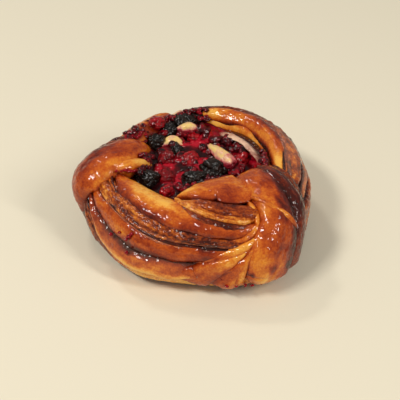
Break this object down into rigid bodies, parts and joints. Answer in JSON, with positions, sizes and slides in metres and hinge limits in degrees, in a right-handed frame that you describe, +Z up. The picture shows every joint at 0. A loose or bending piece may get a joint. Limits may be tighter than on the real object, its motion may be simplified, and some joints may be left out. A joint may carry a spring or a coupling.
{
  "type": "twisted berry bun",
  "caption": "Round twisted yeast bun: layered, glazed dough loops around a hollow heaped with dark and red berries, jam and pieces of set custard.",
  "frame": {"origin": "middle of the bun's bounding box, on the flat underside it rests on", "axes": "+Z up out of the berries, +X to the bun's right as it is served, -Y towards the front band of dough"},
  "size_m": [0.1239, 0.1188, 0.0443],
  "materials": {
    "crust": "egg-glazed baked yeast dough, orange-brown with darker grooves",
    "dark_berry": "soft baked dark berry with small drupelets, wet with syrup",
    "red_berry": "soft baked red berry with small drupelets, wet with syrup",
    "custard": "pale yellow set custard, stained pink along its edges",
    "jam": "wet dark red berry jam"
  },
  "bodies": {
    "root": {"dough": "crust", "dark_berry_1": "dark_berry", "dark_berry_2": "dark_berry", "dark_berry_3": "dark_berry", "dark_berry_4": "dark_berry", "dark_berry_5": "dark_berry", "dark_berry_6": "dark_berry", "dark_berry_7": "dark_berry", "dark_berry_8": "dark_berry", "red_berry_1": "red_berry", "red_berry_2": "red_berry", "red_berry_3": "red_berry", "red_berry_4": "red_berry", "red_berry_5": "red_berry", "red_berry_6": "red_berry", "red_berry_7": "red_berry", "red_berry_8": "red_berry", "red_berry_9": "red_berry", "red_berry_10": "red_berry", "red_berry_11": "red_berry", "custard_1": "custard", "custard_2": "custard", "custard_3": "custard", "berry_jam": "jam"}
  },
  "joints": []
}
